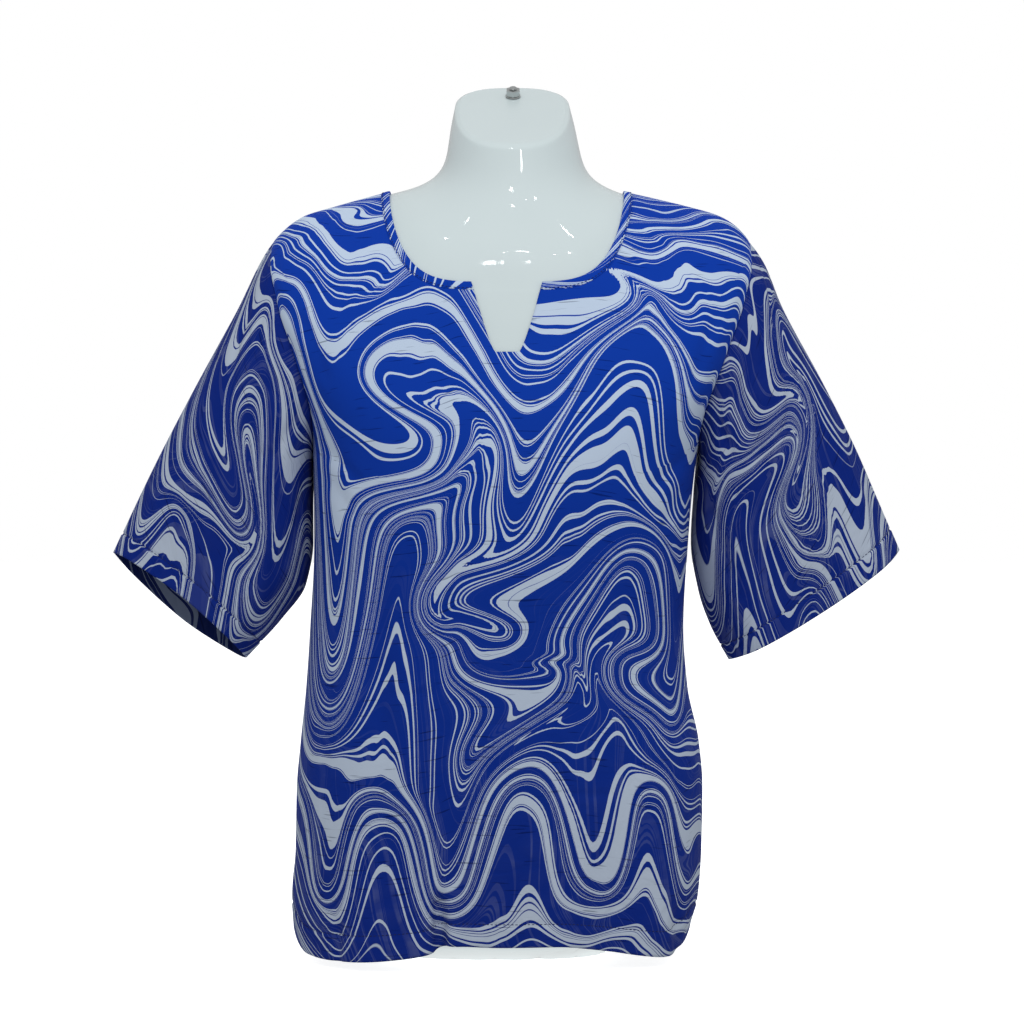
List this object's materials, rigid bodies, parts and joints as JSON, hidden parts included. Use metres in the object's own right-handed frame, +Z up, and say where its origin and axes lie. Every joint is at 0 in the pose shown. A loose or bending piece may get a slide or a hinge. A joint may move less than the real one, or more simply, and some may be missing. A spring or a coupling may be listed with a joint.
{
  "type": "blouse on a dress form",
  "caption": "Short-sleeved pull-on blouse in cobalt blue cloth with a pale marbled line print, a notched neckline and a narrow neck band, on a glossy white limbless dress form.",
  "frame": {"origin": "on the floor, inside the flat foot of the dress form, on the line between the side seams", "axes": "+Z up; -Y the way the wearer faces; +X to the wearer's left"},
  "size_m": [0.675, 0.2489, 0.7532],
  "materials": {
    "printed_cloth": "light plain-woven cloth, cobalt blue with a pale marbled line print",
    "form_white": "glossy cool white",
    "stud_steel": "satin steel"
  },
  "bodies": {
    "root": {"front": "printed_cloth", "back": "printed_cloth", "sleeve_right": "printed_cloth", "sleeve_left": "printed_cloth", "neck_band": "printed_cloth", "dress_form": "form_white", "neck_stud": "stud_steel"}
  },
  "joints": []
}
